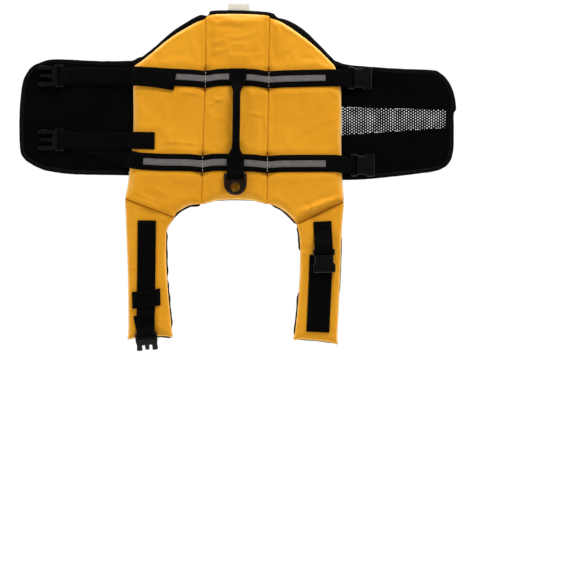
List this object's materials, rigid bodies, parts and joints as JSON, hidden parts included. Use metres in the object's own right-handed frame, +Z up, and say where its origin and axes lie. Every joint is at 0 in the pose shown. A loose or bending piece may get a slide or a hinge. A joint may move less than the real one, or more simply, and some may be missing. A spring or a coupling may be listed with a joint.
{
  "type": "dog life jacket",
  "caption": "Dog life jacket laid flat, outer face up: padded back panels, bound belly flaps, neck straps, webbing straps with side-release buckles, grab handle and lead ring.",
  "frame": {"origin": "middle of the jacket's outline, on the surface it lies on", "axes": "+Z up out of the yellow outer face, +Y toward the tail end, +X to the right of someone who looks down at it"},
  "size_m": [0.6331, 0.5049, 0.027],
  "materials": {
    "outer_nylon": "coated oxford nylon, soft sheen",
    "lining_nylon": "charcoal nylon, satin sheen",
    "flap_velour": "short black nap, matt",
    "flap_net": "open black net",
    "webbing": "woven black webbing",
    "binding_tape": "black woven binding",
    "reflective_tape": "grey reflective tape",
    "hook_and_loop": "black hook and loop tape",
    "buckle_plastic": "moulded black acetal",
    "label_tape": "plain pale tape"
  },
  "bodies": {
    "jacket": {"outer_back_left": "outer_nylon", "outer_back_centre": "outer_nylon", "outer_back_right": "outer_nylon", "outer_neck_left": "outer_nylon", "outer_neck_right": "outer_nylon", "lining_back_left": "lining_nylon", "lining_back_centre": "lining_nylon", "lining_back_right": "lining_nylon", "lining_neck_left": "lining_nylon", "lining_neck_right": "lining_nylon", "hinge_left": "lining_nylon", "hinge_right": "lining_nylon", "flap_left": "flap_velour", "flap_right_rear": "flap_velour", "flap_right_front": "flap_velour", "flap_mesh": "flap_net", "binding_dome": "binding_tape", "binding_flap_left": "binding_tape", "binding_flap_right": "binding_tape", "strap_rear": "webbing", "strap_front": "webbing", "handle": "webbing", "neck_web_left": "webbing", "neck_web_right": "webbing", "keeper": "webbing", "tape_rear_left": "reflective_tape", "tape_rear_right": "reflective_tape", "tape_front_left": "reflective_tape", "tape_front_right": "reflective_tape", "hook_strip": "hook_and_loop", "loop_strip": "hook_and_loop", "buckle_male_rear": "buckle_plastic", "buckle_male_front": "buckle_plastic", "buckle_male_neck": "buckle_plastic", "buckle_female_rear": "buckle_plastic", "buckle_female_front": "buckle_plastic", "buckle_female_neck": "buckle_plastic", "label": "label_tape"},
    "ring": {"lead_ring": "buckle_plastic"}
  },
  "joints": [
    {"name": "ring_swing", "type": "hinge", "parent": "jacket", "child": "ring", "pos_m": [-0.0022, 0.0023, 0.0169], "axis": [-1, 0, 0], "range_deg": [0, 110]}
  ]
}
